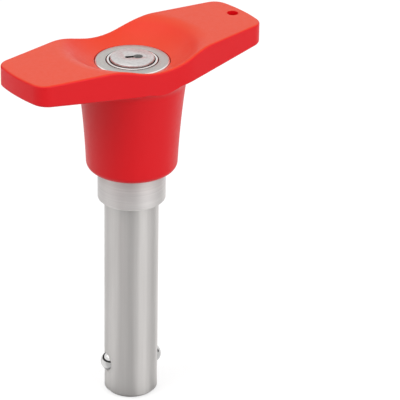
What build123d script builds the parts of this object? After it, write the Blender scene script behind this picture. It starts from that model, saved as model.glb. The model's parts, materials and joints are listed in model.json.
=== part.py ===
from build123d import *
import math
import os

# Keyed ball lock pin with a moulded T-handle.
# Millimetres. The origin is on the pin's axis at the underside of the collar, the face that seats on the
# work. +Z runs up through the handle, and the long axis of the handle is X.
# A key turns the plug a quarter turn. The cam sleeve on the plug's tail has two helical slots, and the
# cross pin in them pulls the spindle down, so that its cone lets the two balls into the shank.

# ---- shank -------------------------------------------------------------------------------------------
shank_diameter = 16.0
shank_length = 64.0
collar_diameter = 20.0
collar_height = 10.0
collar_edge = 0.4
tip_chamfer = 0.8
nose_relief = 0.05  # on the radius, from just above the balls to the tip

# ---- balls -------------------------------------------------------------------------------------------
ball_diameter = 6.0
over_balls = 19.1
balls_above_tip = 9.9
ball_azimuth = -16.0
ball_travel = 1.6
ball_clearance = 0.05
cone_clearance = 0.03
nose_above_balls = 3.5

# ---- turning mechanism -------------------------------------------------------------------------------
key_turn = 90.0
spindle_stroke = 4.0
rod_diameter = 7.9
rod_clearance = 0.05
neck_diameter = 3.2
neck_length = 7.1  # from the height of the balls up to the thick rod
land_below_balls = 3.1
bore_end_margin = 0.4
head_diameter = 10.2
head_length = 6.5
spindle_edge = 0.4
spring_bore_diameter = 10.6
spring_bore_depth = 8.0
washer_thickness = 0.8
spring_wire_width = 0.9
spring_wire_height = 1.1
spring_turns = 7.5
cross_pin_diameter = 2.5
cross_pin_length = 17.4
cross_pin_to_head_top = 3.0
cross_pin_below_spigot_top = 8.2
slot_clearance = 0.1
sleeve_diameter = 14.4
sleeve_bore = 10.4
sleeve_disc = 2.5
sleeve_clearance = 0.1
sleeve_floor_gap = 0.2
sleeve_below_slot = 3.0
tail_diameter = 7.0
tail_flats = 5.4
screw_diameter = 2.5
screw_length = 3.2
screw_head_diameter = 6.4
screw_head_height = 1.5
screw_slot_width = 0.8
screw_slot_depth = 0.6

# ---- spigot that carries the handle --------------------------------------------------------------------
spigot_diameter = 18.0
spigot_flats = 16.4
fit_clearance = 0.03
clip_below_spigot_top = 2.2  # down to the shelf that the clip bears on
clip_thickness = 1.1
clip_depth = 0.65
clip_width = 1.6
clip_opening = 40.0

# ---- handle --------------------------------------------------------------------------------------------
handle_length = 81.2
handle_width = 32.2
handle_end_width = 21.6
handle_end_bow = 1.34
handle_height = 39.2
flank_start = 8.5
flank_blend = 27.0
corner_radius = 4.6
wing_height = 10.3  # at the middle of the handle
underside_rise = 0.103  # of the wing's underside, per mm along the wing
top_edge_radius = 0.6
lower_edge_radius = 0.6
boss_foot_radius = 11.35
boss_foot_round = 2.3
boss_waist_radius = 14.2
boss_neck_radius = 15.5
boss_neck_below_wing = 2.3
boss_flare = 4.2
dish_radius = 30.0
dish_depth = 7.6
dish_lip = 8.0
cord_hole_diameter = 3.4
cord_hole_from_end = 3.9
cord_hole_edge = 0.25

# ---- lock ----------------------------------------------------------------------------------------------
barrel_diameter = 20.0
barrel_length = 17.12  # from the spigot's top to the shoulder under the bezel
bezel_diameter = 22.0
bezel_above_dish_floor = 2.3
bezel_plate = 1.55
bezel_skirt = 2.8
bezel_edge = 0.25
bezel_opening = 15.4
rim_diameter = 15.0
rim_above_bezel = 0.35
rim_edge = 0.2
rim_groove = 0.3
rim_groove_depth = 1.1
plug_diameter = 11.0
plug_head_diameter = 12.6
plug_head_length = 4.25
plug_above_rim = 0.5
plug_edge = 0.4
plug_clearance = 0.03
plug_foot_gap = 0.1
keyhole_azimuth = -26.0
keyhole_diameter = 2.9
keyhole_offset = 1.7
key_slot_width = 0.95
key_slot_reach = 2.05
key_slot_floor = 1.3  # above the foot of the plug
tumblers = 5
tumbler_pitch = 2.9
tumbler_diameter = 2.1
tumbler_clearance = 0.05
first_tumbler = 1.7
key_pin_bevel = 0.5
key_pin_hole_lead = 0.15
shear_gap = 0.02
driver_length = 1.7
chamber_cover_width = 3.4
chamber_cover_thickness = 0.8
chamber_cover_margin = 1.25
chamber_cover_inset = 0.2
tumbler_spring_wire = 0.25
tumbler_spring_turns = 2.5
dowel_diameter = 2.0
dowel_length = 6.0

# ---- cutting shapes -----------------------------------------------------------------------------------------
overcut = 1.0  # how far a cutting shape runs past the face that it opens

# ---- levels and radii that follow ------------------------------------------------------------------------
tip = -shank_length
ball_level = tip + balls_above_tip
ball_radius = ball_diameter / 2
ball_centre = over_balls / 2 - ball_radius
cone_slope = ball_travel / spindle_stroke
cone_angle = math.atan(cone_slope)
cone_at_balls = ball_centre - (ball_radius + cone_clearance) / math.cos(cone_angle)
rod_radius = rod_diameter / 2
rod_bore_radius = rod_radius + rod_clearance
neck_radius = neck_diameter / 2
land_end = ball_level - land_below_balls
rod_bore_end = land_end - spindle_stroke - bore_end_margin

boss_foot = collar_height
handle_top = collar_height + handle_height
wing_foot = handle_top - wing_height
dish_floor = handle_top - dish_depth
bezel_top = dish_floor + bezel_above_dish_floor
barrel_shoulder = bezel_top - bezel_plate - fit_clearance
spigot_top = barrel_shoulder - barrel_length
shelf = spigot_top - clip_below_spigot_top

pin_level = spigot_top - cross_pin_below_spigot_top
head_top = pin_level + cross_pin_to_head_top
head_foot = head_top - head_length
spring_floor = -spring_bore_depth
sleeve_bore_radius = sleeve_diameter / 2 + sleeve_clearance
sleeve_top = spigot_top - plug_foot_gap
disc_foot = sleeve_top - sleeve_disc
sleeve_foot = pin_level - spindle_stroke - cross_pin_diameter / 2 - sleeve_below_slot
sleeve_floor = sleeve_foot - sleeve_floor_gap

bezel_foot = bezel_top - bezel_plate - bezel_skirt
rim_top = bezel_top + rim_above_bezel
plug_top = rim_top + plug_above_rim
plug_shoulder = plug_top - plug_head_length
plug_foot = spigot_top + plug_foot_gap
tumbler_levels = [plug_shoulder - first_tumbler - i * tumbler_pitch for i in range(tumblers)]
tumbler_radius = tumbler_diameter / 2
chamber_radius = tumbler_radius + tumbler_clearance
shear_radius = plug_diameter / 2
key_pin_end = math.sqrt(shear_radius**2 - tumbler_radius**2) - shear_gap
driver_start = shear_radius + plug_clearance + shear_gap
cover_outer = barrel_diameter / 2 - chamber_cover_inset
cover_inner = cover_outer - chamber_cover_thickness
tumbler_azimuth = keyhole_azimuth + 180.0

UP = (Align.CENTER, Align.CENTER, Align.MIN)


# ---- shared forms ------------------------------------------------------------------------------------------
def rod(radius, low, high):
    """A cylinder on the axis between two levels."""
    return Pos(0, 0, low) * Cylinder(radius, high - low, align=UP)


def tube(outer, inner, low, high):
    """A plain ring on the axis."""
    return rod(outer, low, high) - rod(inner, low - overcut, high + overcut)


def laid(shape, azimuth, level):
    """A shape made along Z, laid outwards along a radius of the pin."""
    return Pos(0, 0, level) * Rot(0, 0, azimuth) * Rot(0, 90, 0) * shape


def spoke(radius, start, end, azimuth, level):
    """A cylinder that lies along a radius of the pin."""
    return laid(rod(radius, start, end), azimuth, level)


def flatted(radius, flats, low, high):
    """A shaft with two flats, square to Y."""
    return rod(radius, low, high) & Pos(0, 0, low) * Box(3 * radius, flats, high - low, align=UP)


def turned(points):
    """A solid of revolution from (radius, level) points, closed on the axis."""
    outline = Plane.XZ * make_face(Polyline(*points, close=True))
    return revolve(outline, Axis.Z)


def coil(mean_radius, wire_width, wire_height, turns, low, high):
    """A flat-wire spring between two levels."""
    start = low + wire_height / 2
    rise = high - low - wire_height
    path = Edge.make_helix(pitch=rise / turns, height=rise, radius=mean_radius)
    section = Plane(origin=path @ 0, x_dir=(1, 0, 0), z_dir=path % 0) * Rectangle(wire_width, wire_height)
    return Pos(0, 0, start) * sweep(section, path=path, is_frenet=True)


# ---- shank, balls and spindle ---------------------------------------------------------------------------------
def shank():
    """Collar, shank and spigot, turned in one piece and bored from above."""
    radius = shank_diameter / 2
    nose = radius - nose_relief
    body = turned(
        [
            (0, tip),
            (nose - tip_chamfer, tip),
            (nose, tip + tip_chamfer),
            (radius, ball_level + nose_above_balls),
            (radius, 0),
            (collar_diameter / 2 - collar_edge, 0),
            (collar_diameter / 2, collar_edge),
            (collar_diameter / 2, collar_height),
            (0, collar_height),
        ]
    )
    body += flatted(spigot_diameter / 2, spigot_flats, collar_height, spigot_top)
    body -= rod(rod_bore_radius, rod_bore_end, spigot_top)
    body -= rod(spring_bore_diameter / 2, spring_floor, spigot_top)
    body -= rod(sleeve_bore_radius, sleeve_floor, spigot_top)
    body -= tube(spigot_diameter, spigot_diameter / 2 - clip_depth, shelf, shelf + clip_thickness)
    slot_width = cross_pin_diameter + 2 * slot_clearance
    slot = SlotCenterToCenter(spindle_stroke, slot_width, rotation=90)
    slot_centre = pin_level - spindle_stroke / 2
    body -= extrude(Plane.YZ * Pos(0, slot_centre) * slot, spigot_diameter, both=True)
    pocket = ball_radius + ball_clearance
    body -= spoke(pocket, -ball_centre, ball_centre, ball_azimuth, ball_level)
    for azimuth in (ball_azimuth, ball_azimuth + 180):
        body -= Rot(0, 0, azimuth) * Pos(ball_centre, 0, ball_level) * Sphere(pocket)
    return body


def ball(azimuth):
    return Rot(0, 0, azimuth) * Pos(ball_centre, 0, ball_level) * Sphere(ball_radius)


def spindle():
    """The rod whose cone carries the balls, with a head for the cross pin."""
    cone_foot = ball_level - (rod_radius - cone_at_balls) / cone_slope
    cone_top = ball_level + (cone_at_balls - neck_radius) / cone_slope
    neck_top = ball_level + neck_length
    body = turned(
        [
            (0, land_end),
            (rod_radius - spindle_edge, land_end),
            (rod_radius, land_end + spindle_edge),
            (rod_radius, cone_foot),
            (neck_radius, cone_top),
            (neck_radius, neck_top),
            (rod_radius, neck_top + rod_radius - neck_radius),
            (rod_radius, head_foot),
            (head_diameter / 2, head_foot),
            (head_diameter / 2, head_top - spindle_edge),
            (head_diameter / 2 - spindle_edge, head_top),
            (0, head_top),
        ]
    )
    return body - spoke(cross_pin_diameter / 2, -head_diameter, head_diameter, 0, pin_level)


def cross_pin():
    return spoke(cross_pin_diameter / 2, -cross_pin_length / 2, cross_pin_length / 2, 0, pin_level)


def spring_washer():
    return tube(
        spring_bore_diameter / 2 - rod_clearance,
        rod_bore_radius + rod_clearance,
        spring_floor,
        spring_floor + washer_thickness,
    )


def return_spring():
    middle = (spring_bore_diameter / 2 + rod_radius) / 2
    return coil(
        middle, spring_wire_width, spring_wire_height, spring_turns, spring_floor + washer_thickness, head_foot
    )


# ---- cam ---------------------------------------------------------------------------------------------------------
def cam_sleeve():
    """A cup turned by the plug, with two helical slots that the cross pin runs in."""
    body = rod(sleeve_diameter / 2, sleeve_foot, sleeve_top)
    body -= rod(sleeve_bore / 2, sleeve_foot, disc_foot)
    body -= flatted(tail_diameter / 2 + fit_clearance, tail_flats + 2 * fit_clearance, disc_foot, sleeve_top)
    middle = (sleeve_diameter + sleeve_bore) / 4
    width = cross_pin_diameter + 2 * slot_clearance
    depth = (sleeve_diameter - sleeve_bore) / 2 + 2 * overcut
    path = Edge.make_helix(
        pitch=spindle_stroke * 360 / key_turn, height=spindle_stroke, radius=middle, lefthand=True
    )
    section = Plane(origin=path @ 0, x_dir=(1, 0, 0), z_dir=path % 0) * Rectangle(depth, width)
    slot = Pos(0, 0, pin_level - spindle_stroke) * Rot(0, 0, key_turn) * sweep(section, path=path, is_frenet=True)
    slot += spoke(width / 2, middle - depth / 2, middle + depth / 2, 0, pin_level)
    slot += spoke(width / 2, middle - depth / 2, middle + depth / 2, key_turn, pin_level - spindle_stroke)
    return body - slot - Rot(0, 0, 180) * slot


def cam_screw():
    body = rod(screw_head_diameter / 2, disc_foot - screw_head_height, disc_foot)
    body -= Pos(0, 0, disc_foot - screw_head_height) * Box(
        screw_head_diameter, screw_slot_width, screw_slot_depth, align=UP
    )
    return body + rod(screw_diameter / 2, disc_foot, disc_foot + screw_length)


# ---- lock ----------------------------------------------------------------------------------------------------------
def along_tumblers(shape_of_level):
    return [shape_of_level(level) for level in tumbler_levels]


def lock_plug():
    """The part that the key turns: head, body with the keyway and five pin holes, and a tail for the cam."""
    head = turned(
        [
            (0, plug_shoulder),
            (plug_head_diameter / 2, plug_shoulder),
            (plug_head_diameter / 2, plug_top - plug_edge),
            (plug_head_diameter / 2 - plug_edge, plug_top),
            (0, plug_top),
        ]
    )
    body = head + rod(plug_diameter / 2, plug_foot, plug_shoulder)
    body += flatted(tail_diameter / 2, tail_flats, disc_foot, plug_foot)
    body -= rod(screw_diameter / 2 + fit_clearance, disc_foot, disc_foot + screw_length)
    keyhole = Pos(keyhole_offset, 0) * Circle(keyhole_diameter / 2)
    slot_length = keyhole_offset + key_slot_reach
    keyhole += Pos(keyhole_offset - slot_length / 2, 0) * Rectangle(slot_length, key_slot_width)
    keyway = extrude(keyhole, plug_top - plug_foot - key_slot_floor)
    body -= Rot(0, 0, keyhole_azimuth) * Pos(0, 0, plug_foot + key_slot_floor) * keyway
    for hole in along_tumblers(
        lambda level: spoke(
            chamber_radius, key_slot_reach - key_pin_hole_lead, plug_diameter, tumbler_azimuth, level
        )
    ):
        body -= hole
    return body


def key_pin(level):
    """A pin whose bevelled tip meets the key and whose flat end lies at the plug's surface."""
    tip_radius = tumbler_radius - key_pin_bevel
    pin = turned(
        [
            (0, key_slot_reach),
            (tip_radius, key_slot_reach),
            (tumbler_radius, key_slot_reach + key_pin_bevel),
            (tumbler_radius, key_pin_end),
            (0, key_pin_end),
        ]
    )
    return laid(pin, tumbler_azimuth, level)


def driver_pin(level):
    return spoke(tumbler_radius, driver_start, driver_start + driver_length, tumbler_azimuth, level)


def tumbler_spring(level):
    middle = tumbler_radius - tumbler_spring_wire
    start = driver_start + driver_length
    spring = coil(middle, tumbler_spring_wire, tumbler_spring_wire, tumbler_spring_turns, start, cover_inner)
    return laid(spring, tumbler_azimuth, level)


def chamber_cover_block(clearance, outer):
    """The strip that closes the five chambers, with a clearance all round."""
    high = tumbler_levels[0] + chamber_cover_margin + clearance
    low = tumbler_levels[-1] - chamber_cover_margin - clearance
    return Pos(0, 0, low) * Rot(0, 0, tumbler_azimuth) * Pos((cover_inner + outer) / 2, 0, 0) * Box(
        outer - cover_inner, chamber_cover_width + 2 * clearance, high - low, align=UP
    )


def chamber_cover():
    return chamber_cover_block(0, cover_outer)


def dowel(clearance):
    """The pin that keeps the barrel from turning in the handle, half in each."""
    high = bezel_foot
    low = high - dowel_length - clearance
    return Rot(0, 0, keyhole_azimuth) * Pos(barrel_diameter / 2, 0, 0) * rod(
        dowel_diameter / 2 + clearance, low, high
    )


def lock_barrel():
    """Body of the lock, with the bright rim round the plug."""
    rim = rim_diameter / 2
    body = turned(
        [
            (0, spigot_top),
            (barrel_diameter / 2, spigot_top),
            (barrel_diameter / 2, barrel_shoulder),
            (rim, barrel_shoulder),
            (rim, rim_top - rim_edge),
            (rim - rim_edge, rim_top),
            (0, rim_top),
        ]
    )
    body -= rod(plug_diameter / 2 + plug_clearance, spigot_top, rim_top)
    body -= rod(plug_head_diameter / 2 + plug_clearance, plug_shoulder - plug_clearance, rim_top)
    body -= rod(plug_head_diameter / 2 + rim_groove, rim_top - rim_groove_depth, rim_top)
    for chamber in along_tumblers(
        lambda level: spoke(chamber_radius, shear_radius - overcut, cover_inner, tumbler_azimuth, level)
    ):
        body -= chamber
    body -= chamber_cover_block(fit_clearance, barrel_diameter / 2 + overcut)
    return body - dowel(fit_clearance)


def bezel_ring():
    """A cap pressed into the handle over the barrel, flush in the dish."""
    outer = bezel_diameter / 2
    body = turned(
        [
            (0, bezel_foot),
            (outer, bezel_foot),
            (outer, bezel_top - bezel_edge),
            (outer - bezel_edge, bezel_top),
            (0, bezel_top),
        ]
    )
    body -= rod(bezel_opening / 2, bezel_foot, bezel_top)
    return body - rod(barrel_diameter / 2 + fit_clearance, bezel_foot, bezel_top - bezel_plate)


def spigot_clip():
    """The open ring that holds the handle down on the collar."""
    inner = spigot_diameter / 2 - clip_depth + fit_clearance
    ring = tube(inner + clip_width, inner, shelf, shelf + clip_thickness)
    reach = 2 * spigot_diameter
    half = math.radians(clip_opening / 2)
    mouth = make_face(
        Polyline(
            (0, 0),
            (reach * math.cos(half), reach * math.sin(half)),
            (reach * math.cos(half), -reach * math.sin(half)),
            close=True,
        )
    )
    return ring - Rot(0, 0, 90) * Pos(0, 0, shelf - overcut) * extrude(mouth, clip_thickness + 2 * overcut)


# ---- handle --------------------------------------------------------------------------------------------------------
def plan_outline():
    """The handle from above: a straight hub, tapered flanks, rounded corners and a slightly bowed end."""
    half_length = handle_length / 2
    corner = (half_length - handle_end_bow, handle_end_width / 2)
    hub = handle_width / 2
    with BuildSketch() as plan:
        with BuildLine():
            Polyline((-corner[0], corner[1]), (-flank_start, hub), (flank_start, hub), corner)
            ThreePointArc(corner, (half_length, 0), (corner[0], -corner[1]))
            Polyline((corner[0], -corner[1]), (flank_start, -hub), (-flank_start, -hub), (-corner[0], -corner[1]))
            ThreePointArc((-corner[0], -corner[1]), (-half_length, 0), (-corner[0], corner[1]))
        make_face()
        fillet([v for v in plan.vertices() if abs(v.X) < half_length / 2], flank_blend)
        fillet([v for v in plan.vertices() if abs(v.X) > half_length / 2], corner_radius)
    return plan.sketch


def boss_profile():
    """Half section of the round boss, from its foot to the flare that runs out under the wings."""
    neck_level = wing_foot - boss_neck_below_wing
    wall_foot = boss_foot + boss_foot_round
    foot_arc = boss_foot_radius + boss_foot_round * 0.9
    waist_level = (wall_foot + neck_level) / 2
    flare_radius = boss_neck_radius + boss_flare
    with BuildSketch(Plane.XZ) as section:
        with BuildLine():
            Line((0, boss_foot), (boss_foot_radius, boss_foot))
            ThreePointArc(
                (boss_foot_radius, boss_foot),
                (
                    boss_foot_radius + (foot_arc - boss_foot_radius) * 0.707,
                    boss_foot + boss_foot_round * 0.293,
                ),
                (foot_arc, wall_foot),
            )
            ThreePointArc((foot_arc, wall_foot), (boss_waist_radius, waist_level), (boss_neck_radius, neck_level))
            ThreePointArc(
                (boss_neck_radius, neck_level),
                (boss_neck_radius + boss_flare * 0.293, neck_level + boss_flare * 0.707),
                (flare_radius, neck_level + boss_flare),
            )
            Polyline(
                (flare_radius, neck_level + boss_flare),
                (flare_radius, handle_top - overcut),
                (0, handle_top - overcut),
                (0, boss_foot),
            )
        make_face()
    return section.sketch


def dish():
    """The round hollow in the top: a sphere that runs out into the flat through a soft lip."""
    centre = dish_floor + dish_radius
    lip_centre_level = handle_top - dish_lip
    span = dish_radius + dish_lip
    lip_centre = math.sqrt(span**2 - (centre - lip_centre_level) ** 2)
    share = dish_radius / span
    seam = (lip_centre * share, centre - (centre - lip_centre_level) * share)
    sphere_angle = math.atan2(seam[0], centre - seam[1]) / 2
    sphere_middle = (dish_radius * math.sin(sphere_angle), centre - dish_radius * math.cos(sphere_angle))
    start = math.atan2(seam[1] - lip_centre_level, seam[0] - lip_centre)
    middle = (start + math.pi / 2) / 2
    lip_middle = (lip_centre + dish_lip * math.cos(middle), lip_centre_level + dish_lip * math.sin(middle))
    with BuildSketch(Plane.XZ) as section:
        with BuildLine():
            ThreePointArc((0, dish_floor), sphere_middle, seam)
            ThreePointArc(seam, lip_middle, (lip_centre, handle_top))
            Polyline(
                (lip_centre, handle_top),
                (lip_centre, handle_top + overcut),
                (0, handle_top + overcut),
                (0, dish_floor),
            )
        make_face()
    return revolve(section.sketch, Axis.Z)


def grip():
    """The moulded T-handle: wings and boss in one, dished above, bored for the spigot and the lock."""
    half_length = handle_length / 2
    prism = extrude(plan_outline(), handle_top)
    end_foot = wing_foot + underside_rise * (half_length + overcut)
    side = make_face(
        Polyline(
            (-half_length - overcut, end_foot),
            (0, wing_foot),
            (half_length + overcut, end_foot),
            (half_length + overcut, handle_top),
            (-half_length - overcut, handle_top),
            close=True,
        )
    )
    wings = prism & extrude(Plane.XZ * side, handle_width, both=True)
    wall = plan_outline().wire()

    def on_wall(edge, low, high):
        """Whether an edge runs along the outer wall between two levels."""
        middle = edge @ 0.5
        flat = Vector(middle.X, middle.Y, 0)
        steep = abs((edge @ 0 - edge @ 1).Z) > 0.9 * edge.length
        return low < middle.Z < high and not steep and wall.distance_to(flat) < 0.01

    wings = fillet([e for e in wings.edges() if on_wall(e, wing_foot - overcut, end_foot + overcut)], lower_edge_radius)
    boss = revolve(boss_profile(), Axis.Z) & prism
    body = wings + boss - dish()
    body = fillet([e for e in body.edges() if on_wall(e, (dish_floor + handle_top) / 2, handle_top + overcut)], top_edge_radius)
    return bored(body)


def bored(body):
    body -= flatted(
        spigot_diameter / 2 + fit_clearance, spigot_flats + 2 * fit_clearance, boss_foot - overcut, shelf
    )
    body -= rod(barrel_diameter / 2 + fit_clearance, shelf, bezel_foot)
    body -= rod(bezel_diameter / 2 + fit_clearance, bezel_foot, handle_top)
    body -= dowel(fit_clearance)
    hole_at = handle_length / 2 - cord_hole_from_end
    body -= Pos(hole_at, 0, 0) * rod(cord_hole_diameter / 2, boss_foot, handle_top)
    return body


if __name__ == "__main__":
    os.makedirs("parts", exist_ok=True)
    pieces = {
        "grip": grip(),
        "bezel_ring": bezel_ring(),
        "lock_barrel": lock_barrel(),
        "lock_plug": lock_plug(),
        "chamber_cover": chamber_cover(),
        "barrel_dowel": dowel(0),
        "cam_sleeve": cam_sleeve(),
        "cam_screw": cam_screw(),
        "cross_pin": cross_pin(),
        "spindle": spindle(),
        "return_spring": return_spring(),
        "spring_washer": spring_washer(),
        "shank": shank(),
        "spigot_clip": spigot_clip(),
        "ball_right": ball(ball_azimuth),
        "ball_left": ball(ball_azimuth + 180),
    }
    for number, level in enumerate(tumbler_levels, start=1):
        pieces[f"key_pin_{number}"] = key_pin(level)
        pieces[f"driver_pin_{number}"] = driver_pin(level)
        pieces[f"tumbler_spring_{number}"] = tumbler_spring(level)
    for name, piece in pieces.items():
        export_step(piece, f"parts/{name}.step")
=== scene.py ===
# %% [markdown]
# # A keyed ball lock pin
# The pin is a steel shank with two locking balls near its tip, a moulded T-handle on top, and a small key
# lock set in a dish in the handle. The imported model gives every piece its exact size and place. These
# cells turn the steel pieces that show, wind the return spring, and give every piece its material.
# The frame is in metres, +Z runs up the pin's axis, and X runs along the handle. Sizes in these cells are
# in millimetres, as on a drawing, and MM turns them into metres.

import json
import math

import bpy
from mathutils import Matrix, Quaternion, Vector


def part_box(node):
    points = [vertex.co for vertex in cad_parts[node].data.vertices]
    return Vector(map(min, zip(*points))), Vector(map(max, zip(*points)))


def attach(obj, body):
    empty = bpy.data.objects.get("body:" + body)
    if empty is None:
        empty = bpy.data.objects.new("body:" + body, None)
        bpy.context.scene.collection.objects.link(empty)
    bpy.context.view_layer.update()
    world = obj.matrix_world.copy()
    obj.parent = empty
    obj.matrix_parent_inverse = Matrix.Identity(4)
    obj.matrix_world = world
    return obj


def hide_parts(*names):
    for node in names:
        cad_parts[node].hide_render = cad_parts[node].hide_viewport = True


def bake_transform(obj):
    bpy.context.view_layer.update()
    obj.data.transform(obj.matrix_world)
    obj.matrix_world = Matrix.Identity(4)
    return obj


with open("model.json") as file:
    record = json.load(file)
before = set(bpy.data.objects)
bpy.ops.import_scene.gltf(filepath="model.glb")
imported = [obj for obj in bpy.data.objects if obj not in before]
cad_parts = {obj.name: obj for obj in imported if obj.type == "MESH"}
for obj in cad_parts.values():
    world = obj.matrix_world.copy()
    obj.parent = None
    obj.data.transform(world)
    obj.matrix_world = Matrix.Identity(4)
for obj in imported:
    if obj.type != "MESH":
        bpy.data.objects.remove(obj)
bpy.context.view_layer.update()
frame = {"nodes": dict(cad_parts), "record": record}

# %% [markdown]
# ## Small habits that keep operators honest
# An operator acts on everything that is selected, and loading leaves the CAD nodes selected. So each step
# starts from a clean selection and then picks one object. A finished piece keeps its place in its mesh.

# %% Selection helpers
MM = 0.001


def select_none():
    if bpy.context.mode != "OBJECT":
        bpy.ops.object.mode_set(mode="OBJECT")
    bpy.ops.object.select_all(action="DESELECT")


def select_only(piece):
    select_none()
    piece.select_set(True)
    bpy.context.view_layer.objects.active = piece


def edit(piece):
    select_only(piece)
    bpy.ops.object.mode_set(mode="EDIT")


def done_editing():
    bpy.ops.object.mode_set(mode="OBJECT")


def settle(piece):
    """Puts a piece's place and turn into its mesh, so that its object sits at the origin."""
    select_only(piece)
    bpy.ops.object.transform_apply(location=True, rotation=True, scale=True)


select_none()
print("selected:", len(bpy.context.selected_objects))

# %% [markdown]
# ## A lathe
# The shank, the bezel, the rim and the plug are all turned on a lathe. In Blender a lathe can be the spin
# operator on a half section, or a disc that is extruded from step to step and scaled to each radius. The
# disc is used here, because each step is then one cut with a radius and a height, as on a drawing, and the
# ends are closed by themselves.

# %% The lathe
SEGMENTS = 192
SAME_RADIUS = 1e-9


def turn(name, steps, segments=SEGMENTS):
    """A closed round piece from (radius, height) steps in millimetres, first step to last."""
    select_none()
    radius, height = steps[0]
    bpy.ops.mesh.primitive_circle_add(
        vertices=segments, radius=radius * MM, fill_type="NGON", location=(0, 0, height * MM)
    )
    piece = bpy.context.active_object
    piece.name = piece.data.name = name
    settle(piece)
    edit(piece)
    bpy.ops.mesh.select_all(action="SELECT")
    for next_radius, next_height in steps[1:]:
        bpy.ops.mesh.extrude_region_move(
            TRANSFORM_OT_translate={"value": (0, 0, (next_height - height) * MM)}
        )
        if abs(next_radius - radius) > SAME_RADIUS:
            k = next_radius / radius
            bpy.ops.transform.resize(value=(k, k, 1), center_override=(0, 0, next_height * MM))
        radius, height = next_radius, next_height
    bpy.ops.mesh.select_all(action="SELECT")
    bpy.ops.mesh.normals_make_consistent(inside=False)
    done_editing()
    return piece


def facts(piece):
    low = [round(min(v.co[i] for v in piece.data.vertices) / MM, 2) for i in range(3)]
    high = [round(max(v.co[i] for v in piece.data.vertices) / MM, 2) for i in range(3)]
    print(piece.name, "faces", len(piece.data.polygons), "from", low, "to", high)


print("lathe ready, segments", SEGMENTS)

# %% [markdown]
# ## Shank and collar
# One bar of stainless steel: a plain 16 mm shank with a small chamfer at the tip, a 20 mm collar that seats
# on the work, and above it the spigot that carries the handle, with a groove for its clip. It is bored from
# above for the spindle, the return spring and the cam. It could be a stack of cylinders, but one run of the
# lathe gives one skin, with a true step under the collar, and the bore follows in the same run. The long
# plain stretches are cut in several steps, because shorter faces are easier to cut into later.

# %% Turn the shank
tip, spigot_top = (corner.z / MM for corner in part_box("shank"))
groove_foot, groove_top = (corner.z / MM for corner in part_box("spigot_clip"))
shank_radius, collar_radius, spigot_radius = 8.0, 10.0, 9.0
nose_radius, nose_end, tip_chamfer = 7.95, -50.6, 0.8
nose_taper = [(7.953, -57.6), (7.964, -54.1)]
collar_top, collar_foot_edge, collar_top_edge = 10.0, 0.4, 0.3
clip_groove_radius = 8.35
sleeve_bore, sleeve_floor = 7.3, 8.55
spring_bore, spring_floor = 5.3, -8.0
rod_bore, rod_bore_end = 4.0, -61.6
shank = turn(
    "shank_turned",
    [
        (nose_radius - tip_chamfer, tip),
        (nose_radius, tip + tip_chamfer),
        *nose_taper,
        *[(shank_radius, height) for height in (nose_end, -44.0, -30.0, -15.0, 0.0)],
        (collar_radius - collar_foot_edge, 0.0),
        (collar_radius, collar_foot_edge),
        (collar_radius, collar_top - collar_top_edge),
        (collar_radius - collar_top_edge, collar_top),
        (spigot_radius, collar_top),
        (spigot_radius, groove_foot),
        (clip_groove_radius, groove_foot),
        (clip_groove_radius, groove_top),
        (spigot_radius, groove_top),
        (spigot_radius, spigot_top),
        (sleeve_bore, spigot_top),
        (sleeve_bore, sleeve_floor),
        (spring_bore, sleeve_floor),
        (spring_bore, spring_floor),
        *[(rod_bore, height) for height in (spring_floor, -50.0, -58.0, rod_bore_end)],
    ],
)
facts(shank)

# %% [markdown]
# ## Tools that take material away
# A boolean takes one closed shape out of another, as a mill or a drill does. It could be one boolean with
# all the tools joined, but one tool at a time is easier to follow, and each stays a simple closed shape:
# a block, an upright round tool, or a round tool that lies square to the axis. Where a tool's face lies on
# one of the piece's own, the boolean leaves points almost on top of each other, so they are merged at once.

# %% Cutting helpers
def apply_modifier(piece, kind, **settings):
    modifier = piece.modifiers.new(kind.title(), kind)
    for key, value in settings.items():
        setattr(modifier, key, value)
    select_only(piece)
    bpy.ops.object.modifier_apply(modifier=modifier.name)


def merge_doubles(piece, distance=1e-6):
    """Merges points that lie within a thousandth of a millimetre, and drops the faces with no area."""
    edit(piece)
    bpy.ops.mesh.select_all(action="SELECT")
    bpy.ops.mesh.remove_doubles(threshold=distance)
    bpy.ops.mesh.dissolve_degenerate(threshold=distance)
    done_editing()


def cut(piece, tool):
    """Takes one closed shape out of another, and throws the tool away."""
    apply_modifier(piece, "BOOLEAN", operation="DIFFERENCE", solver="EXACT", object=tool)
    bpy.data.objects.remove(tool)
    merge_doubles(piece)


def smooth(piece, angle=30):
    """Shades a piece smooth, apart from edges that turn by more than the angle."""
    select_only(piece)
    bpy.ops.object.shade_smooth_by_angle(angle=math.radians(angle))


print("cutting helpers ready")

# %% The tools' shapes
TOOL_SEGMENTS = 48


def block_tool(middle, size, azimuth=0.0):
    """A block from its middle and its sizes, then turned about the pin's axis."""
    select_none()
    bpy.ops.mesh.primitive_cube_add(
        size=1, location=[v * MM for v in middle], scale=[v * MM for v in size]
    )
    tool = bpy.context.active_object
    settle(tool)
    tool.rotation_euler.z = azimuth
    settle(tool)
    return tool


def upright_tool(radius, low, high, place=(0, 0), segments=TOOL_SEGMENTS):
    """A round tool along Z, between two heights."""
    tool = turn("upright_tool", [(radius, low), (radius, high)], segments)
    tool.location.xy = [v * MM for v in place]
    settle(tool)
    return tool


def lying_tool(steps, azimuth, height, segments=TOOL_SEGMENTS):
    """A turned tool that lies square to the axis, its steps counted outwards from the axis."""
    tool = turn("lying_tool", steps, segments)
    tool.rotation_euler = (0, math.pi / 2, azimuth)
    tool.location.z = height * MM
    settle(tool)
    return tool


print("tools ready, segments", TOOL_SEGMENTS)

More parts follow.
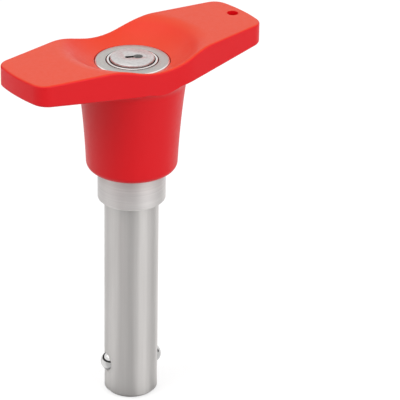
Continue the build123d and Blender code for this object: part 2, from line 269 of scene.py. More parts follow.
# %% [markdown]
# ## Flats and slots of the spigot
# Two flats keep the spigot from turning in the handle, and a slot on each side lets the cross pin go down but
# not round. On the real pin both are milled, and here too each is one straight tool taken out of the turned
# shape: a block for each flat, and for the slots a round tool at each end with a block between.

# %% Mill the spigot
flat_reach, flat_tool_depth, flat_overrun = 8.2, 4.0, 0.2
flat_top = spigot_top + flat_overrun
for side in (-1, 1):
    flat_middle = (0, side * (flat_reach + flat_tool_depth / 2), (collar_top + flat_top) / 2)
    cut(shank, block_tool(flat_middle, (2 * collar_radius, flat_tool_depth, flat_top - collar_top)))

pin_low, pin_high = (corner.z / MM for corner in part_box("cross_pin"))
pin_level, pin_stroke, slot_gap = (pin_low + pin_high) / 2, 4.0, 0.1
slot_radius = (pin_high - pin_low) / 2 + slot_gap
for height in (pin_level, pin_level - pin_stroke):
    cut(shank, lying_tool([(slot_radius, -collar_radius), (slot_radius, collar_radius)], 0, height))
slot_middle = (0, 0, pin_level - pin_stroke / 2)
cut(shank, block_tool(slot_middle, (2 * collar_radius, 2 * slot_radius, pin_stroke)))
facts(shank)

# %% [markdown]
# ## The ball pockets
# Each ball sits in a cross hole that ends in a round seat, so that it can come out far enough to lock and
# no further. A form tool cuts hole, seat and mouth in one go, so one closed shape is turned for each side,
# laid along the ball's direction and taken out of the shank with a boolean. The mouth is a little wider than
# the seat, which leaves a thin crescent above and below the ball.

# %% Where the balls are
ball_low, ball_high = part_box("ball_right")
ball_centre = (ball_low + ball_high) / 2
ball_radius = (ball_high.z - ball_low.z) / 2 / MM
ball_reach = ball_centre.xy.length / MM
ball_azimuth = math.atan2(ball_centre.y, ball_centre.x)
print("ball radius", round(ball_radius, 3), "reach", round(ball_reach, 3))
print("ball azimuth", round(math.degrees(ball_azimuth), 1))

# %% Turn the form tools and cut the pockets
seat_gap = 0.05
seat_radius = ball_radius + seat_gap
mouth_radius, mouth_floor = 3.0, 7.7
tool_start, tool_end = 2.0, 9.5
seat_parts = 12
seat_angle = math.asin((mouth_floor - ball_reach) / seat_radius)
seat_steps = [
    (seat_radius * math.cos(angle), ball_reach + seat_radius * math.sin(angle))
    for angle in (seat_angle * i / seat_parts for i in range(seat_parts + 1))
]
form = [(seat_radius, tool_start), *seat_steps, (mouth_radius, mouth_floor), (mouth_radius, tool_end)]
for azimuth in (ball_azimuth, ball_azimuth + math.pi):
    cut(shank, lying_tool(form, azimuth, ball_centre.z / MM, segments=96))
smooth(shank, 32)
facts(shank)

# %% [markdown]
# ## Bezel ring
# A flat steel ring with a short skirt, pressed into the handle over the lock body. Its face is brushed in
# circles and its edge is broken, so that it catches a thin line of light, and a painted highlight on the
# polished chamfer brightens that line. It is turned as a cup with a stepped bore, and then its two end discs
# are taken away and their rims joined, which opens the bore.

# %% Turn the bezel ring
bezel_foot, bezel_top = (corner.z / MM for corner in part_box("bezel_ring"))
bezel_radius, face_radius, chamfer_radius = 10.98, 10.84, 10.46
chamfer_height, neck_depth, neck_step = 0.3, 1.5, 0.1
bezel_bore, skirt_bore, plate_underside = 7.7, 10.03, 42.35
end_gap = 0.1
bezel = turn(
    "bezel_turned",
    [
        (bezel_radius, bezel_foot),
        (bezel_radius, bezel_top - neck_depth - neck_step),
        (face_radius, bezel_top - neck_depth),
        (face_radius, bezel_top - chamfer_height),
        (chamfer_radius, bezel_top),
        (bezel_bore, bezel_top),
        (bezel_bore, plate_underside),
        (skirt_bore, plate_underside),
        (skirt_bore, bezel_foot + end_gap),
    ],
)
facts(bezel)


# %% Open the bezel's bore
def open_bore(piece):
    """Takes the two end discs away and joins their rims, which makes a cup a tube."""
    edit(piece)
    bpy.ops.mesh.select_mode(type="FACE")
    bpy.ops.mesh.select_all(action="DESELECT")
    done_editing()
    # The end discs are the only level faces whose middle lies on the axis.
    for face in piece.data.polygons:
        face.select = abs(face.normal.z) > 0.99 and face.center.xy.length < MM
    edit(piece)
    bpy.ops.mesh.delete(type="FACE")
    bpy.ops.mesh.select_mode(type="EDGE")
    bpy.ops.mesh.select_non_manifold(extend=False, use_boundary=True)
    bpy.ops.mesh.bridge_edge_loops()
    bpy.ops.mesh.select_all(action="SELECT")
    bpy.ops.mesh.normals_make_consistent(inside=False)
    done_editing()


open_bore(bezel)
facts(bezel)


# %% Ease the bezel's edges
def ease_edges(piece, width_mm, angle=30):
    """Takes the sharpness off every edge that turns by more than the angle."""
    apply_modifier(
        piece,
        "BEVEL",
        width=width_mm * MM,
        segments=2,
        limit_method="ANGLE",
        angle_limit=math.radians(angle),
        use_clamp_overlap=True,
    )
    smooth(piece, angle)


ease_edges(bezel, 0.07)
facts(bezel)

# %% [markdown]
# ## Lock body with its bright rim
# The lock body is a cylinder in the handle. Only its rim stands up through the bezel, and the plug turns
# inside it. A narrow groove round the plug, with painted shade on its walls, makes the dark line that the
# eye reads as the edge of the plug.
# It is turned and opened in the same way as the bezel, because it is a stepped tube too. The rim stands a
# little lower than in the imported model, so that the plug hides its far side from the front.

# %% Turn the lock body
barrel_foot, barrel_top = (corner.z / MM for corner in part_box("lock_barrel"))
rim_drop, bezel_line = 0.19, 0.02
rim_top = barrel_top - rim_drop
barrel_radius, barrel_shoulder = 10.0, 42.32
rim_radius, rim_edge_radius, rim_edge = 7.44, 7.32, 0.12
rim_groove_radius, rim_groove_depth = 6.74, 1.1
head_seat_radius, head_seat = 6.33, 40.47
plug_bore = 5.53
barrel = turn(
    "lock_body_turned",
    [
        (barrel_radius, barrel_foot),
        (barrel_radius, barrel_shoulder),
        (rim_radius, barrel_shoulder),
        (rim_radius, bezel_top - bezel_line),
        (rim_radius, rim_top - rim_edge),
        (rim_edge_radius, rim_top),
        (rim_groove_radius, rim_top),
        (rim_groove_radius, rim_top - rim_groove_depth),
        (head_seat_radius, rim_top - rim_groove_depth),
        (head_seat_radius, head_seat),
        (plug_bore, head_seat),
        (plug_bore, barrel_foot + end_gap),
    ],
)
open_bore(barrel)
ease_edges(barrel, 0.05)
facts(barrel)

# %% [markdown]
# ## Plug and keyhole
# The plug's face is flat with a rounded edge. The keyhole is a round hole that runs out into a narrow slot,
# for a key with one round edge. It could be painted on, but it is cut as deep as a real one, so that it is
# dark inside from every side. Its walls also get painted shade later.

# %% Turn the plug
plug_foot, plug_top = (corner.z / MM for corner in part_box("lock_plug"))
tail_radius, tail_top = 2.7, 25.3
plug_radius, head_foot = 5.5, 40.5
head_foot_radius, head_radius, head_step = 6.28, 6.46, 0.2
head_round = [(head_radius, 0.66), (head_radius, 0.42), (6.40, 0.22), (6.26, 0.07), (6.04, 0.0)]
plug = turn(
    "plug_turned",
    [
        (tail_radius, plug_foot),
        (tail_radius, tail_top),
        (plug_radius, tail_top),
        (plug_radius, head_foot),
        (head_foot_radius, head_foot),
        (head_foot_radius, rim_top - rim_groove_depth),
        (head_radius, rim_top - rim_groove_depth + head_step),
        *[(radius, plug_top - depth) for radius, depth in head_round],
    ],
)
facts(plug)

# %% Cut the keyhole
keyhole_azimuth = math.radians(-26)
keyhole_way = Vector((math.cos(keyhole_azimuth), math.sin(keyhole_azimuth)))
keyhole_radius, keyhole_offset = 1.38, 1.7
slot_reach, slot_width = 2.05, 1.32
keyhole_depth, keyhole_overrun = 18.15, 1.0
keyhole_floor, keyhole_end = plug_top - keyhole_depth, plug_top + keyhole_overrun
round_place = keyhole_way * keyhole_offset
cut(plug, upright_tool(keyhole_radius, keyhole_floor, keyhole_end, round_place, segments=64))
blade_middle = ((keyhole_offset - slot_reach) / 2, 0, (keyhole_floor + keyhole_end) / 2)
blade_size = (keyhole_offset + slot_reach, slot_width, keyhole_end - keyhole_floor)
cut(plug, block_tool(blade_middle, blade_size, keyhole_azimuth))
ease_edges(plug, 0.06, angle=40)
facts(plug)

# %% [markdown]
# ## Holes that are hidden in the lock
# Opposite the keyhole a row of five chambers goes through the plug and the lock body, one for each pair of
# tumbler pins. A strip closes them from outside, a dowel lies half in the body and half in the handle, and
# a screw holds the cam on the plug's tail. None of this shows, but each piece needs its hole, or two pieces
# would fill the same place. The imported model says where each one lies.

# %% Bore the tumbler chambers
tumbler_azimuth = keyhole_azimuth + math.pi
chamber_radius, fit_gap = 1.1, 0.03
plug_chamber = [(chamber_radius, 1.9), (chamber_radius, 6.0)]
body_chamber = [(chamber_radius, 5.0), (chamber_radius, 9.4)]
for number in range(1, 6):
    pin_foot, pin_head = (corner.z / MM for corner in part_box(f"key_pin_{number}"))
    pin_middle = (pin_foot + pin_head) / 2
    cut(plug, lying_tool(plug_chamber, tumbler_azimuth, pin_middle))
    cut(barrel, lying_tool(body_chamber, tumbler_azimuth, pin_middle))
facts(plug)


# %% Bore the dowel's half hole and the screw's hole
def hole_for(node, radius):
    """An upright tool that fills a node's box, with a gap all round."""
    low, high = (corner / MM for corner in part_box(node))
    return upright_tool(radius + fit_gap, low.z - fit_gap, high.z + fit_gap, (low.xy + high.xy) / 2)


dowel_radius, screw_radius = 1.0, 1.25
cut(barrel, hole_for("barrel_dowel", dowel_radius))
cut(plug, hole_for("cam_screw", screw_radius))
smooth(plug, 40)
facts(plug)

# %% Cut the strip's pocket
cover_low, cover_high = (corner.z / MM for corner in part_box("chamber_cover"))
cover_inner, cover_width, pocket_depth = 9.0, 3.4, 4.0
cover_middle = (cover_inner + pocket_depth / 2, 0, (cover_low + cover_high) / 2)
cover_size = (pocket_depth, cover_width + 2 * fit_gap, cover_high - cover_low + 2 * fit_gap)
cut(barrel, block_tool(cover_middle, cover_size, tumbler_azimuth))
smooth(barrel)
facts(barrel)

# %% [markdown]
# ## Return spring
# A spring is wound from wire, and the screw modifier does the same with the wire's section. A spring of fixed
# length would run into the spindle's head when it comes down, and this one keeps its wound length.

# %% Wind the spring
spring_low, spring_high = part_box("return_spring")
wire_width, wire_height = 0.9 * MM, 1.1 * MM
spring_turns, steps_per_turn = 7.5, 48
select_none()
bpy.ops.mesh.primitive_plane_add(
    size=1,
    location=(spring_high.x - wire_width / 2, 0, spring_low.z + wire_height / 2),
    rotation=(math.pi / 2, 0, 0),
)
spring = bpy.context.active_object
spring.name = spring.data.name = "spring_wound"
spring.scale = (wire_width, wire_height, 1)
settle(spring)
apply_modifier(
    spring,
    "SCREW",
    axis="Z",
    angle=2 * math.pi * spring_turns,
    screw_offset=spring_high.z - spring_low.z - wire_height,
    steps=round(spring_turns * steps_per_turn),
    render_steps=round(spring_turns * steps_per_turn),
)
edit(spring)
bpy.ops.mesh.select_all(action="SELECT")
bpy.ops.mesh.fill_holes(sides=4)
bpy.ops.mesh.normals_make_consistent(inside=False)
done_editing()
smooth(spring)
facts(spring)

# %% [markdown]
# ## Materials
# Every finish is built from nodes on Object coordinates, which stay with the piece. Fixed numbers sit on
# the shader itself, and only colour, roughness and bump are driven by patterns. A few short helpers add one
# node each, because the same nodes come back in every finish.

# %% Pattern helpers
def new_material(name):
    material = bpy.data.materials.new(name)
    material.use_nodes = True
    nodes = material.node_tree.nodes
    return material, nodes, material.node_tree.links, nodes["Principled BSDF"]


def object_place(nodes, links, scale=(1, 1, 1)):
    """Object coordinates, stretched so that a pattern runs along one direction."""
    place = nodes.new("ShaderNodeTexCoord")
    mapping = nodes.new("ShaderNodeMapping")
    mapping.inputs["Scale"].default_value = scale
    links.new(place.outputs["Object"], mapping.inputs["Vector"])
    return mapping.outputs["Vector"]


def noise(nodes, links, source, scale, detail=2.0, roughness=0.5):
    node = nodes.new("ShaderNodeTexNoise")
    node.inputs["Scale"].default_value = scale
    node.inputs["Detail"].default_value = detail
    node.inputs["Roughness"].default_value = roughness
    links.new(source, node.inputs["Vector"])
    return node.outputs["Fac"]


def spread(nodes, links, source, low, high, start=0.3, end=0.7):
    """Runs from low to high while the source goes from start to end, such as a noise's middle."""
    node = nodes.new("ShaderNodeMapRange")
    node.inputs["From Min"].default_value = start
    node.inputs["From Max"].default_value = end
    node.inputs["To Min"].default_value = low
    node.inputs["To Max"].default_value = high
    links.new(source, node.inputs["Value"])
    return node.outputs["Result"]


def bump(nodes, links, shader, source, depth_mm, strength=1.0):
    node = nodes.new("ShaderNodeBump")
    node.inputs["Strength"].default_value = strength
    node.inputs["Distance"].default_value = depth_mm * MM
    links.new(source, node.inputs["Height"])
    links.new(node.outputs["Normal"], shader.inputs["Normal"])


print("pattern helpers ready")

# %% Helpers that join values and colours
def calculate(nodes, links, operation, first, second):
    node = nodes.new("ShaderNodeMath")
    node.operation = operation
    links.new(first, node.inputs[0])
    links.new(second, node.inputs[1])
    return node.outputs[0]


def length_of(nodes, links, vector):
    node = nodes.new("ShaderNodeVectorMath")
    node.operation = "LENGTH"
    links.new(vector, node.inputs[0])
    return node.outputs["Value"]


def blend_colours(nodes, links, amount, first, second):
    """The first colour where the amount is 0, and the second where it is 1."""
    node = nodes.new("ShaderNodeMix")
    node.data_type = "RGBA"
    links.new(amount, node.inputs["Factor"])
    for colour, socket in ((first, node.inputs["A"]), (second, node.inputs["B"])):
        if isinstance(colour, tuple):
            socket.default_value = (*colour, 1)
        else:
            links.new(colour, socket)
    return node.outputs["Result"]


print("joining helpers ready")

# %% [markdown]
# ### Moulded plastic
# The handle is a tough satin plastic, orange-red all through. Its mould is lightly textured, so highlights
# are wide and soft: a very fine noise in the bump gives that. The top is painted a little more orange than
# the walls, a painted sheen that stands in for the white light it reflects. Which way a surface faces says
# how much, so no mask has to be drawn, and a slow noise keeps both colours from being dead flat.

# %% Handle plastic
def painted_top_sheen_mask(nodes, links):
    """1 on the top, 0 on walls and below, where the painted sheen goes."""
    face = nodes.new("ShaderNodeNewGeometry")
    parts = nodes.new("ShaderNodeSeparateXYZ")
    links.new(face.outputs["Normal"], parts.inputs["Vector"])
    return spread(nodes, links, parts.outputs["Z"], 0, 1, start=0.45, end=1)


def moulded_plastic():
    material, nodes, links, shader = new_material("moulded_orange_red")
    here = object_place(nodes, links)
    slow = noise(nodes, links, here, scale=70, detail=3)
    wall = blend_colours(nodes, links, slow, (0.82, 0.003, 0.009), (0.85, 0.005, 0.012))
    # The top's colour is more orange than the walls': a painted sheen for the white light that tops reflect.
    top = blend_colours(nodes, links, slow, (0.785, 0.055, 0.012), (0.815, 0.062, 0.016))
    tint = blend_colours(nodes, links, painted_top_sheen_mask(nodes, links), wall, top)
    links.new(tint, shader.inputs["Base Color"])
    patches = noise(nodes, links, here, scale=900, detail=2)
    links.new(spread(nodes, links, patches, 0.36, 0.44), shader.inputs["Roughness"])
    fine = noise(nodes, links, here, scale=5200, detail=1)
    bump(nodes, links, shader, fine, depth_mm=0.012, strength=0.5)
    shader.inputs["IOR"].default_value = 1.39
    return material


plastic = moulded_plastic()
print("plastic", plastic.name)

# %% [markdown]
# ### Turned steel
# A lathe tool leaves fine rings round a bar. They are too small to see one by one, but they smear a
# reflection along the bar, so the bar shows soft upright bands. An anisotropic shader does that. Its tangent
# runs round the axis, and a quarter turn sets the smear across the rings. The shank is ground after it is
# turned, so its rings are almost gone. The collar keeps its rings, so it is rougher and shows faint lines.

# %% Smear across the rings
def round_tangent(nodes, links):
    """The direction round the Z axis at each point, for rings that a lathe leaves."""
    place = nodes.new("ShaderNodeNewGeometry")
    cross = nodes.new("ShaderNodeVectorMath")
    cross.operation = "CROSS_PRODUCT"
    cross.inputs[0].default_value = (0, 0, 1)
    links.new(place.outputs["Position"], cross.inputs[1])
    unit = nodes.new("ShaderNodeVectorMath")
    unit.operation = "NORMALIZE"
    links.new(cross.outputs["Vector"], unit.inputs[0])
    return unit.outputs["Vector"]


def ringed_metal(nodes, links, shader, stretch):
    shader.inputs["Metallic"].default_value = 1.0
    shader.inputs["Anisotropic"].default_value = stretch
    shader.inputs["Anisotropic Rotation"].default_value = 0.25
    links.new(round_tangent(nodes, links), shader.inputs["Tangent"])


print("ring helpers ready")

# %% Turned and ground steel
def turned_steel(name, dark, light, rough, stretch, ring_depth_mm, lines=False):
    """Steel from a lathe: with lines its colour follows the rings, and without them a grain along Z."""
    material, nodes, links, shader = new_material(name)
    across, along, patchy = (
        object_place(nodes, links, scale) for scale in ((0.02, 0.02, 1), (1, 1, 0.03), (1, 1, 0.25))
    )
    rings = noise(nodes, links, across, scale=2600, detail=3, roughness=0.6)
    grain = noise(nodes, links, along, scale=900, detail=3)
    broad = noise(nodes, links, patchy, scale=260, detail=3)
    pattern = rings if lines else grain
    tint = blend_colours(nodes, links, spread(nodes, links, pattern, 0, 1), dark, light)
    links.new(tint, shader.inputs["Base Color"])
    links.new(spread(nodes, links, broad, rough - 0.03, rough + 0.03), shader.inputs["Roughness"])
    ringed_metal(nodes, links, shader, stretch)
    bump(nodes, links, shader, rings, ring_depth_mm, strength=0.6)
    return material


shank_steel = turned_steel(
    "turned_steel",
    (0.785, 0.760, 0.742),
    (0.835, 0.810, 0.792),
    rough=0.48,
    stretch=0.92,
    ring_depth_mm=0.00015,
)
collar_steel = turned_steel(
    "turned_collar",
    (0.85, 0.825, 0.812),
    (0.95, 0.925, 0.912),
    rough=0.62,
    stretch=0.8,
    ring_depth_mm=0.0015,
    lines=True,
)
dull_steel = turned_steel(
    "satin_steel", (0.52, 0.51, 0.50), (0.62, 0.61, 0.60), rough=0.35, stretch=0.4, ring_depth_mm=0.001
)
print("turned steels:", shank_steel.name, collar_steel.name, dull_steel.name)

# %% [markdown]
# ### Polished metal
# The balls, the rim, the springs and the tumbler pins are smooth all over, so they need no rings. A plain
# colour and roughness would do, but perfectly even metal looks unreal, so a slow noise moves both a little.

# %% Polished metal
def polished_metal(name, colour, rough):
    material, nodes, links, shader = new_material(name)
    here = object_place(nodes, links)
    patches = noise(nodes, links, here, scale=600, detail=2)
    links.new(spread(nodes, links, patches, rough * 0.8, rough * 1.2), shader.inputs["Roughness"])
    slow = noise(nodes, links, here, scale=200)
    tint = blend_colours(nodes, links, slow, colour, tuple(0.96 * c for c in colour))
    links.new(tint, shader.inputs["Base Color"])
    shader.inputs["Metallic"].default_value = 1.0
    return material


ball_steel = polished_metal("polished_steel", (0.74, 0.735, 0.73), rough=0.06)
rim_steel = polished_metal("bright_steel", (0.78, 0.77, 0.76), rough=0.16)
# The chamfer is polished, and its near-white colour is also a painted highlight, brighter than steel.
polished_edge_and_painted_highlight = polished_metal("bright_edge", (0.97, 0.93, 0.91), rough=0.3)
spring_steel = polished_metal("spring_steel", (0.50, 0.50, 0.51), rough=0.25)
brass = polished_metal("brass", (0.72, 0.52, 0.22), rough=0.22)
print("polished metals ready")

# %% [markdown]
# ### Faced steel
# The lock's round faces are cut across on the lathe, so their fine marks are circles round the axis. The
# pattern reads the distance from the axis, which Object coordinates give with no map.

# %% Faced steel with circular marks
def faced_steel(name, dark, light, rough, stretch):
    material, nodes, links, shader = new_material(name)
    reach = length_of(nodes, links, object_place(nodes, links, (1, 1, 0)))
    ring = nodes.new("ShaderNodeCombineXYZ")
    links.new(reach, ring.inputs["X"])
    rings = noise(nodes, links, ring.outputs["Vector"], scale=1500, detail=4, roughness=0.7)
    specks = noise(nodes, links, object_place(nodes, links), scale=1300, detail=3)
    soft_rings, soft_specks = (spread(nodes, links, pattern, 0.6, 1) for pattern in (rings, specks))
    uneven = calculate(nodes, links, "MULTIPLY", soft_rings, soft_specks)
    tint = blend_colours(nodes, links, spread(nodes, links, uneven, 0, 1, start=0.36, end=1), dark, light)
    links.new(tint, shader.inputs["Base Color"])
    links.new(spread(nodes, links, specks, rough - 0.06, rough + 0.06), shader.inputs["Roughness"])
    ringed_metal(nodes, links, shader, stretch)
    bump(nodes, links, shader, rings, depth_mm=0.0008, strength=0.5)
    return material


bezel_steel = faced_steel("faced_bezel", (0.44, 0.435, 0.415), (0.62, 0.615, 0.59), rough=0.38, stretch=0.3)
plug_steel = faced_steel("faced_plug", (0.50, 0.485, 0.48), (0.82, 0.805, 0.80), rough=0.42, stretch=0.3)
print("faced steels:", bezel_steel.name, plug_steel.name)

# %% [markdown]
# ## Dress every piece
# Each new piece stands for its CAD node, rides on the same body, and gets its material. Nodes that keep
# their CAD shape only get a better material.

# %% Put the new pieces on their bodies
def dress(piece, material):
    piece.data.materials.clear()
    piece.data.materials.append(material)


for piece, node, body, finish, material in (
    (shank, "shank", "housing", "turned_steel", shank_steel),
    (bezel, "bezel_ring", "housing", "satin_steel", bezel_steel),
    (barrel, "lock_barrel", "housing", "bright_steel", rim_steel),
    (plug, "lock_plug", "plug", "satin_steel", plug_steel),
):
    dress(piece, material)
    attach(piece, body)
    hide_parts(node)
    print(piece.name, "stands for", node)

# %% Dress the spring and hide the CAD spring
dress(spring, spring_steel)
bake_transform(spring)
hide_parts("return_spring")
print(spring.name, "goes from the housing to the spindle")

# %% [markdown]
# ### Painted shade in gaps and the keyhole, bright edge and collar
# The narrow gaps round the plug and the rim, and the keyhole, are painted dark as shade. The faces deep in a
# gap are picked by their radius and height and get a painted shade of their own, so the gap still reads as
# a line where it is narrower than a hair. The bezel's chamfer, which is polished and painted near white as a
# highlight, and the collar are picked the same way.

# %% Painted shade for gaps and the keyhole
def painted_shade_finish(name, colour, rough):
    material, nodes, links, shader = new_material(name)
    patches = noise(nodes, links, object_place(nodes, links), scale=1500, detail=3)
    tint = blend_colours(nodes, links, patches, colour, tuple(0.7 * c for c in colour))
    links.new(tint, shader.inputs["Base Color"])
    links.new(spread(nodes, links, patches, rough - 0.08, rough + 0.08), shader.inputs["Roughness"])
    return material


# Painted shade: near black for deep gaps and the keyhole's slot, grey for the keyhole's round part.
painted_gap_shade = painted_shade_finish("painted_gap_shade", (0.020, 0.017, 0.015), rough=0.6)
slot_painted_shade = painted_shade_finish("slot_painted_shade", (0.010, 0.009, 0.009), rough=0.6)
bore_painted_shade = painted_shade_finish("bore_painted_shade", (0.27, 0.27, 0.265), rough=0.5)
print("dark finishes ready")

# %% Give a finish to some faces
def give_faces(piece, material, chosen):
    """Gives a further material to the faces that a test of (centre, radius) picks, in millimetres."""
    piece.data.materials.append(material)
    index = len(piece.data.materials) - 1
    count = 0
    for face in piece.data.polygons:
        centre = face.center / MM
        if chosen(centre, centre.xy.length):
            face.material_index = index
            count += 1
    print(piece.name, material.name, count, "faces")


give_faces(shank, collar_steel, lambda c, r: r > shank_radius + 0.1 and c.z > 0)

# %% Pick the gaps round the plug and the rim
# The faces deep in the gaps round the plug, the rim and the bezel get painted shade.
give_faces(plug, painted_gap_shade, lambda c, r: r > head_foot_radius - 0.08 and c.z < plug_top - 0.68)
give_faces(barrel, painted_gap_shade, lambda c, r: r < rim_groove_radius + 0.04 and c.z < rim_top - rim_edge)
give_faces(
    barrel,
    painted_gap_shade,
    lambda c, r: rim_radius - 0.04 < r < rim_radius + 0.16 and barrel_shoulder + 0.01 < c.z < bezel_top,
)
give_faces(bezel, painted_gap_shade, lambda c, r: r < bezel_bore + 0.1 and c.z < bezel_top - 0.1)
give_faces(bezel, painted_gap_shade, lambda c, r: r > face_radius - 0.04 and c.z < bezel_top - chamfer_height)
# The bezel's chamfer gets the polished, near-white finish with its painted highlight.
give_faces(
    bezel,
    polished_edge_and_painted_highlight,
    lambda c, r: chamfer_radius + 0.04 < r < face_radius - 0.04 and c.z > bezel_top - chamfer_height,
)

# %% Pick the keyhole's walls
round_part_start = 0.5


def in_keyhole(centre, radius):
    return radius < plug_radius - 0.3 and tail_top + 0.3 < centre.z < plug_top - 0.08


def in_round_part(centre):
    return centre.xy @ keyhole_way >= round_part_start


# The keyhole's walls get painted shade: near black in the slot and grey in the round part.
give_faces(plug, slot_painted_shade, lambda c, r: in_keyhole(c, r) and not in_round_part(c))
give_faces(plug, bore_painted_shade, lambda c, r: in_keyhole(c, r) and in_round_part(c))

# %% Give the CAD nodes their finishes
finish_of = {part["node"]: part["material_slot"] for part in frame["record"]["subparts"]}
by_slot = {
    "handle_plastic": plastic,
    "turned_steel": shank_steel,
    "satin_steel": dull_steel,
    "bright_steel": rim_steel,
    "polished_steel": ball_steel,
    "spring_steel": spring_steel,
    "brass": brass,
}
for name, node in frame["nodes"].items():
    dress(node, by_slot[finish_of[name]])
print("finished", len(frame["nodes"]), "nodes")

# %% [markdown]
# ## Studio
# A studio has a white floor that runs into a white wall. A curved sheet could be built for it, but a flat
# floor under a white sky does the same with less. The floor glows for the camera and for metal, a little
# more far from the pin, so that it meets the sky with no line. The glow doesn't light the pin.

# %% What looks at a surface
def mirror_view(nodes, links, path):
    """1 for what metal or glass sees."""
    glossy, through = path.outputs["Is Glossy Ray"], path.outputs["Is Transmission Ray"]
    return calculate(nodes, links, "MAXIMUM", glossy, through)


def direct_view(nodes, links, path):
    """1 for what the camera, metal or glass sees, and 0 for light that falls on things."""
    mirrored = mirror_view(nodes, links, path)
    return calculate(nodes, links, "MAXIMUM", path.outputs["Is Camera Ray"], mirrored)


print("view helpers ready")

# %% Floor
floor_size, floor_drop = 6.0, 0.0002
floor_grey, glow_near, glow_far = 0.42, 0.67, 0.75
select_none()
bpy.ops.mesh.primitive_plane_add(size=floor_size, location=(0, 0, tip * MM - floor_drop))
floor = bpy.context.active_object
floor.name = "studio_floor"
floor_material, nodes, links, shader = new_material("floor_white")
nodes.remove(shader)
matt = nodes.new("ShaderNodeBsdfDiffuse")
matt.inputs["Color"].default_value = (floor_grey, floor_grey, floor_grey, 1)
glow = nodes.new("ShaderNodeEmission")
place = nodes.new("ShaderNodeTexCoord")
away = length_of(nodes, links, place.outputs["Object"])
level = spread(nodes, links, away, glow_near, glow_far, start=0.3, end=1.6)
seen = nodes.new("ShaderNodeLightPath")
strength = calculate(nodes, links, "MULTIPLY", direct_view(nodes, links, seen), level)
links.new(strength, glow.inputs["Strength"])
both = nodes.new("ShaderNodeAddShader")
links.new(matt.outputs[0], both.inputs[0])
links.new(glow.outputs[0], both.inputs[1])
links.new(both.outputs[0], nodes["Material Output"].inputs["Surface"])
dress(floor, floor_material)
print("floor at", round(floor.location.z, 5))

# %% [markdown]
# ## Camera
# A long lens from far away keeps the shank's sides nearly parallel, as in a catalogue. The camera looks at
# the underside of the collar, and the lens's shift moves the pin to the left of the frame. Turning the
# camera would move it too, but then its upright lines would lean.

# %% Camera
camera_roll = math.radians(0.27)
camera_data = bpy.data.cameras.new("studio_camera")
camera_data.lens = 248.6
camera_data.sensor_width = 36
camera_data.shift_x = 0.171
camera_data.shift_y = -0.009
camera_data.clip_start = 0.01
camera = bpy.data.objects.new("studio_camera", camera_data)
bpy.context.scene.collection.objects.link(camera)
camera.location = (-0.4364, -0.5804, 0.3619)
looking = (-camera.location).to_track_quat("-Z", "Y")
camera.rotation_euler = (looking @ Quaternion((0, 0, 1), camera_roll)).to_euler()
bpy.context.scene.camera = camera
camera_azimuth = math.atan2(camera.location.y, camera.location.x)
print("camera azimuth", round(math.degrees(camera_azimuth), 2))

# %% [markdown]
# ### What the metal sees
# A round bar shows its whole surroundings as upright bands, so a studio sets grey flats round it. Here a
# curve says how bright the surroundings are in each direction, counted from straight in front, and the same
# kind of curve shades a round card on the floor, with a painted shadow right under the tip. Only metal and
# gloss see either, and the light that falls on the pin stays even.

# %% Direction from the front
def angle_from_front(nodes, links, vector):
    """Where a point or ray lies, from 0 to 1: straight in front is 0.5, and it grows towards the right."""
    sides = []
    for azimuth in (camera_azimuth + math.pi / 2, camera_azimuth):
        side = nodes.new("ShaderNodeVectorMath")
        side.operation = "DOT_PRODUCT"
        side.inputs[1].default_value = (math.cos(azimuth), math.sin(azimuth), 0)
        links.new(vector, side.inputs[0])
        sides.append(side.outputs["Value"])
    angle = calculate(nodes, links, "ARCTAN2", *sides)
    return spread(nodes, links, angle, 0, 1, start=-math.pi, end=math.pi)


print("directions ready")

# %% Brightness by direction
def round_about(nodes, links, vector, flats):
    """Brightness from (degrees from the front, level) pairs, blended from each to the next."""
    ramp = nodes.new("ShaderNodeValToRGB")
    stops = ramp.color_ramp.elements
    while len(stops) > 1:
        stops.remove(stops[-1])
    for i, (degrees, level) in enumerate(flats):
        at = (degrees + 180) / 360
        stop = stops[0] if i == 0 else stops.new(at)
        stop.position = at
        stop.color = (level, level, level, 1)
    links.new(angle_from_front(nodes, links, vector), ramp.inputs["Fac"])
    return ramp.outputs["Color"]


card_flats = [
    (-180, 0.25), (-168, 0.25), (-156, 1.0), (-130, 1.0), (-116, 0.75), (-100, 1.0), (-65, 0.9),
    (-45, 0.62), (-25, 0.58), (8, 0.52), (18, 0.74), (38, 0.75), (62, 0.75), (72, 0.6), (84, 0.65),
    (92, 0.7), (112, 0.7), (125, 0.8), (156, 0.95), (168, 0.25),
]
sky_flats = [
    (-180, 1.0), (-132, 1.0), (-120, 0.55), (-110, 0.6), (-98, 1.35), (-80, 1.3), (-60, 1.15),
    (-30, 1.15), (-14, 1.1), (-6, 0.75), (3, 0.7), (9, 0.95), (15, 1.3), (62, 1.4), (72, 1.1),
    (84, 0.75), (92, 0.55), (108, 0.55), (120, 0.75), (160, 0.95),
]
skirting = [
    (-180, 1.0), (-165, 1.0), (-150, 0.05), (25, 0.05), (35, 1.0), (88, 1.0), (94, 0.2), (114, 0.2),
    (122, 1.0),
]
print("stops:", len(card_flats), len(sky_flats), len(skirting))

# %% Round card on the floor
card_radius, card_drop = 0.6, 0.0001
painted_tip_shadow_radius, painted_tip_shadow_blur = 0.065, 0.0005
select_none()
bpy.ops.mesh.primitive_circle_add(
    vertices=96, radius=card_radius, fill_type="NGON", location=(0, 0, tip * MM - card_drop)
)
card = bpy.context.active_object
card.name = card.data.name = "floor_card"
settle(card)
card_material, nodes, links, shader = new_material("floor_card")
nodes.remove(shader)
glow = nodes.new("ShaderNodeEmission")
place = nodes.new("ShaderNodeTexCoord")
links.new(round_about(nodes, links, place.outputs["Object"], card_flats), glow.inputs["Color"])
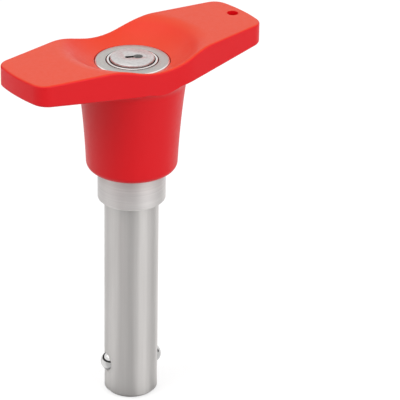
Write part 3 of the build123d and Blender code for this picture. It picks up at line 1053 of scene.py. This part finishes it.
# Inside a small spot under the tip the card glows at a tenth: a painted shadow that only metal sees.
strength = spread(
    nodes,
    links,
    length_of(nodes, links, place.outputs["Object"]),
    0.1,
    1,
    start=painted_tip_shadow_radius - painted_tip_shadow_blur,
    end=painted_tip_shadow_radius + painted_tip_shadow_blur,
)
links.new(strength, glow.inputs["Strength"])
links.new(glow.outputs[0], nodes["Material Output"].inputs["Surface"])
dress(card, card_material)
card.visible_camera = card.visible_diffuse = card.visible_shadow = False
card.visible_transmission = card.visible_volume_scatter = False
print("card radius", card_radius)

# %% Helpers for the sky
def mix_levels(nodes, links, amount, first, second):
    """The first level where the amount is 0, and the second where it is 1, each a number or a socket."""
    node = nodes.new("ShaderNodeMix")
    node.data_type = "FLOAT"
    links.new(amount, node.inputs[0])
    for level, socket in ((first, node.inputs[2]), (second, node.inputs[3])):
        if isinstance(level, float):
            socket.default_value = level
        else:
            links.new(level, socket)
    return node.outputs[0]


world = bpy.data.worlds.new("studio_sky")
bpy.context.scene.world = world
world.use_nodes = True
print("world", world.name)

# %% Sky
WHITE = 1.0
light_on_object = 0.61
nodes, links = world.node_tree.nodes, world.node_tree.links
ray = nodes.new("ShaderNodeTexCoord").outputs["Generated"]
upward = nodes.new("ShaderNodeSeparateXYZ")
links.new(ray, upward.inputs["Vector"])
above_flats = spread(nodes, links, upward.outputs["Z"], 0, 1, start=0.35, end=0.5)
flat_shade = mix_levels(nodes, links, above_flats, round_about(nodes, links, ray, sky_flats), WHITE)
above_skirting = spread(nodes, links, upward.outputs["Z"], 0, 1, start=0.37, end=0.41)
strip_shade = mix_levels(nodes, links, above_skirting, round_about(nodes, links, ray, skirting), WHITE)
shade = calculate(nodes, links, "MULTIPLY", flat_shade, strip_shade)
seen = nodes.new("ShaderNodeLightPath")
by_metal = mix_levels(nodes, links, mirror_view(nodes, links, seen), light_on_object, shade)
by_all = mix_levels(nodes, links, seen.outputs["Is Camera Ray"], by_metal, WHITE)
background = nodes["Background"]
background.inputs["Color"].default_value = (1, 1, 1, 1)
links.new(by_all, background.inputs["Strength"])
print("sky ready")

# %% [markdown]
# ## Lamps
# Three soft lights face the pin: a large one on the right, one nearly overhead and a smaller one on the
# left. Each is placed by its angle from the camera, so that the set can be lit before the camera moves. The
# two at the sides are hidden from gloss, because the metal gets its bands from the flats.

# %% Lamps
def softbox(name, turn_from_camera, elevation, distance, size, power):
    """A rectangular soft light that faces the pin, placed by its angle from the camera."""
    azimuth = camera_azimuth + math.radians(turn_from_camera)
    rise = math.radians(elevation)
    level = math.cos(rise)
    place = Vector((math.cos(azimuth) * level, math.sin(azimuth) * level, math.sin(rise))) * distance
    data = bpy.data.lights.new(name, "AREA")
    data.shape = "RECTANGLE"
    data.size, data.size_y = size
    data.energy = power
    lamp = bpy.data.objects.new(name, data)
    bpy.context.scene.collection.objects.link(lamp)
    lamp.location = place
    lamp.rotation_euler = (-place).to_track_quat("-Z", "Y").to_euler()
    print(name, power, "watts")
    return lamp


right_softbox = softbox("right_softbox", 52, elevation=20, distance=0.9, size=(0.5, 0.9), power=3.5)
softbox("top_softbox", -60, elevation=74, distance=1.0, size=(0.9, 0.9), power=1.75)
left_softbox = softbox("left_softbox", -58, elevation=42, distance=1.0, size=(0.5, 0.6), power=2.3)
right_softbox.visible_glossy = left_softbox.visible_glossy = False

# %% View settings
bpy.context.scene.view_settings.view_transform = "Standard"
print("view", bpy.context.scene.view_settings.view_transform)
